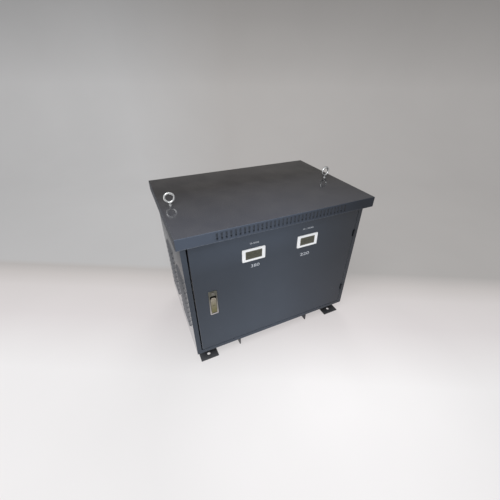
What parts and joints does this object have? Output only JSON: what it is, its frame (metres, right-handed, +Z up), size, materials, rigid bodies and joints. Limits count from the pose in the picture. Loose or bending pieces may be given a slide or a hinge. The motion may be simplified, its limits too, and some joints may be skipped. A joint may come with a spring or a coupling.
{
  "type": "three-phase transformer",
  "caption": "Dry-type transformer in a sheet-steel floor cabinet with a slotted overhanging lid, lifting eyes, a hinged door with panel meters and a folding latch, and bolt-down rails.",
  "frame": {"origin": "on the floor, below the middle of the lid", "axes": "+X to the right seen from the front, +Y to the back, +Z up"},
  "size_m": [0.84, 0.58, 0.7491],
  "materials": {
    "cabinet_paint": "fine textured blue-grey powder coat",
    "lid_paint": "satin grey powder coat",
    "base_paint": "satin black paint",
    "zinc": "zinc plated",
    "steel": "grey primer",
    "lamination": "varnished sheet edges",
    "low_winding": "amber varnish over tape",
    "high_winding": "red-brown varnish over tape",
    "insulation": "glass-fibre laminate",
    "copper": "plain copper",
    "brass": "turned brass",
    "rubber": "matt black",
    "foam": "closed-cell foam",
    "bezel": "moulded white",
    "screen": "dark clear window",
    "clip": "moulded black",
    "zinc_casting": "matt die-cast zinc",
    "handle_metal": "warm matt plating",
    "chrome": "bright"
  },
  "bodies": {
    "cabinet": {"base_rail_left": "base_paint", "base_rail_right": "base_paint", "cross_rib_left": "base_paint", "cross_rib_right": "base_paint", "floor_pan": "cabinet_paint", "left_side_panel": "cabinet_paint", "right_side_panel": "cabinet_paint", "top_front_rail": "cabinet_paint", "top_rear_rail": "cabinet_paint", "rear_panel": "cabinet_paint", "lid": "lid_paint", "lifting_bar": "steel", "eye_bolts": "zinc", "eye_nuts": "zinc", "cable_edge_strip": "rubber", "core": "lamination", "lower_clamp_front": "steel", "lower_clamp_rear": "steel", "upper_clamp_front": "steel", "upper_clamp_rear": "steel", "clamp_bolts": "zinc", "rubber_pads": "rubber", "low_voltage_coil_a": "low_winding", "low_voltage_coil_b": "low_winding", "low_voltage_coil_c": "low_winding", "high_voltage_coil_a": "high_winding", "high_voltage_coil_b": "high_winding", "high_voltage_coil_c": "high_winding", "duct_spacers": "insulation", "coil_blocks": "insulation", "primary_terminal_board": "insulation", "secondary_terminal_board": "insulation", "terminal_studs": "brass", "primary_leads": "copper", "secondary_leads": "copper", "hinge_frame_leaves": "base_paint"},
    "door": {"door_panel": "cabinet_paint", "door_stiffener": "cabinet_paint", "door_gasket": "foam", "hinge_door_leaves": "base_paint", "left_meter_case": "bezel", "right_meter_case": "bezel", "left_meter_screen": "screen", "right_meter_screen": "screen", "meter_clips": "clip", "latch_housing": "zinc_casting", "handle_pin": "zinc"},
    "handle": {"latch_handle": "handle_metal"},
    "lock": {"lock_cylinder": "chrome", "lock_cam": "zinc"}
  },
  "joints": [
    {"name": "door_swing", "type": "hinge", "parent": "cabinet", "child": "door", "pos_m": [0.38225, -0.257, 0.346], "axis": [0, 0, 1], "range_deg": [0, 115]},
    {"name": "handle_pull", "type": "hinge", "parent": "door", "child": "handle", "pos_m": [-0.306, -0.255, 0.2955], "axis": [1, 0, 0], "range_deg": [0, 45], "stiffness_Nm_per_rad": 0.1, "springref_deg": -11.46},
    {"name": "lock_turn", "type": "hinge", "parent": "door", "child": "lock", "pos_m": [-0.306, -0.2292, 0.398], "axis": [0, 1, 0], "range_deg": [0, 90]}
  ]
}
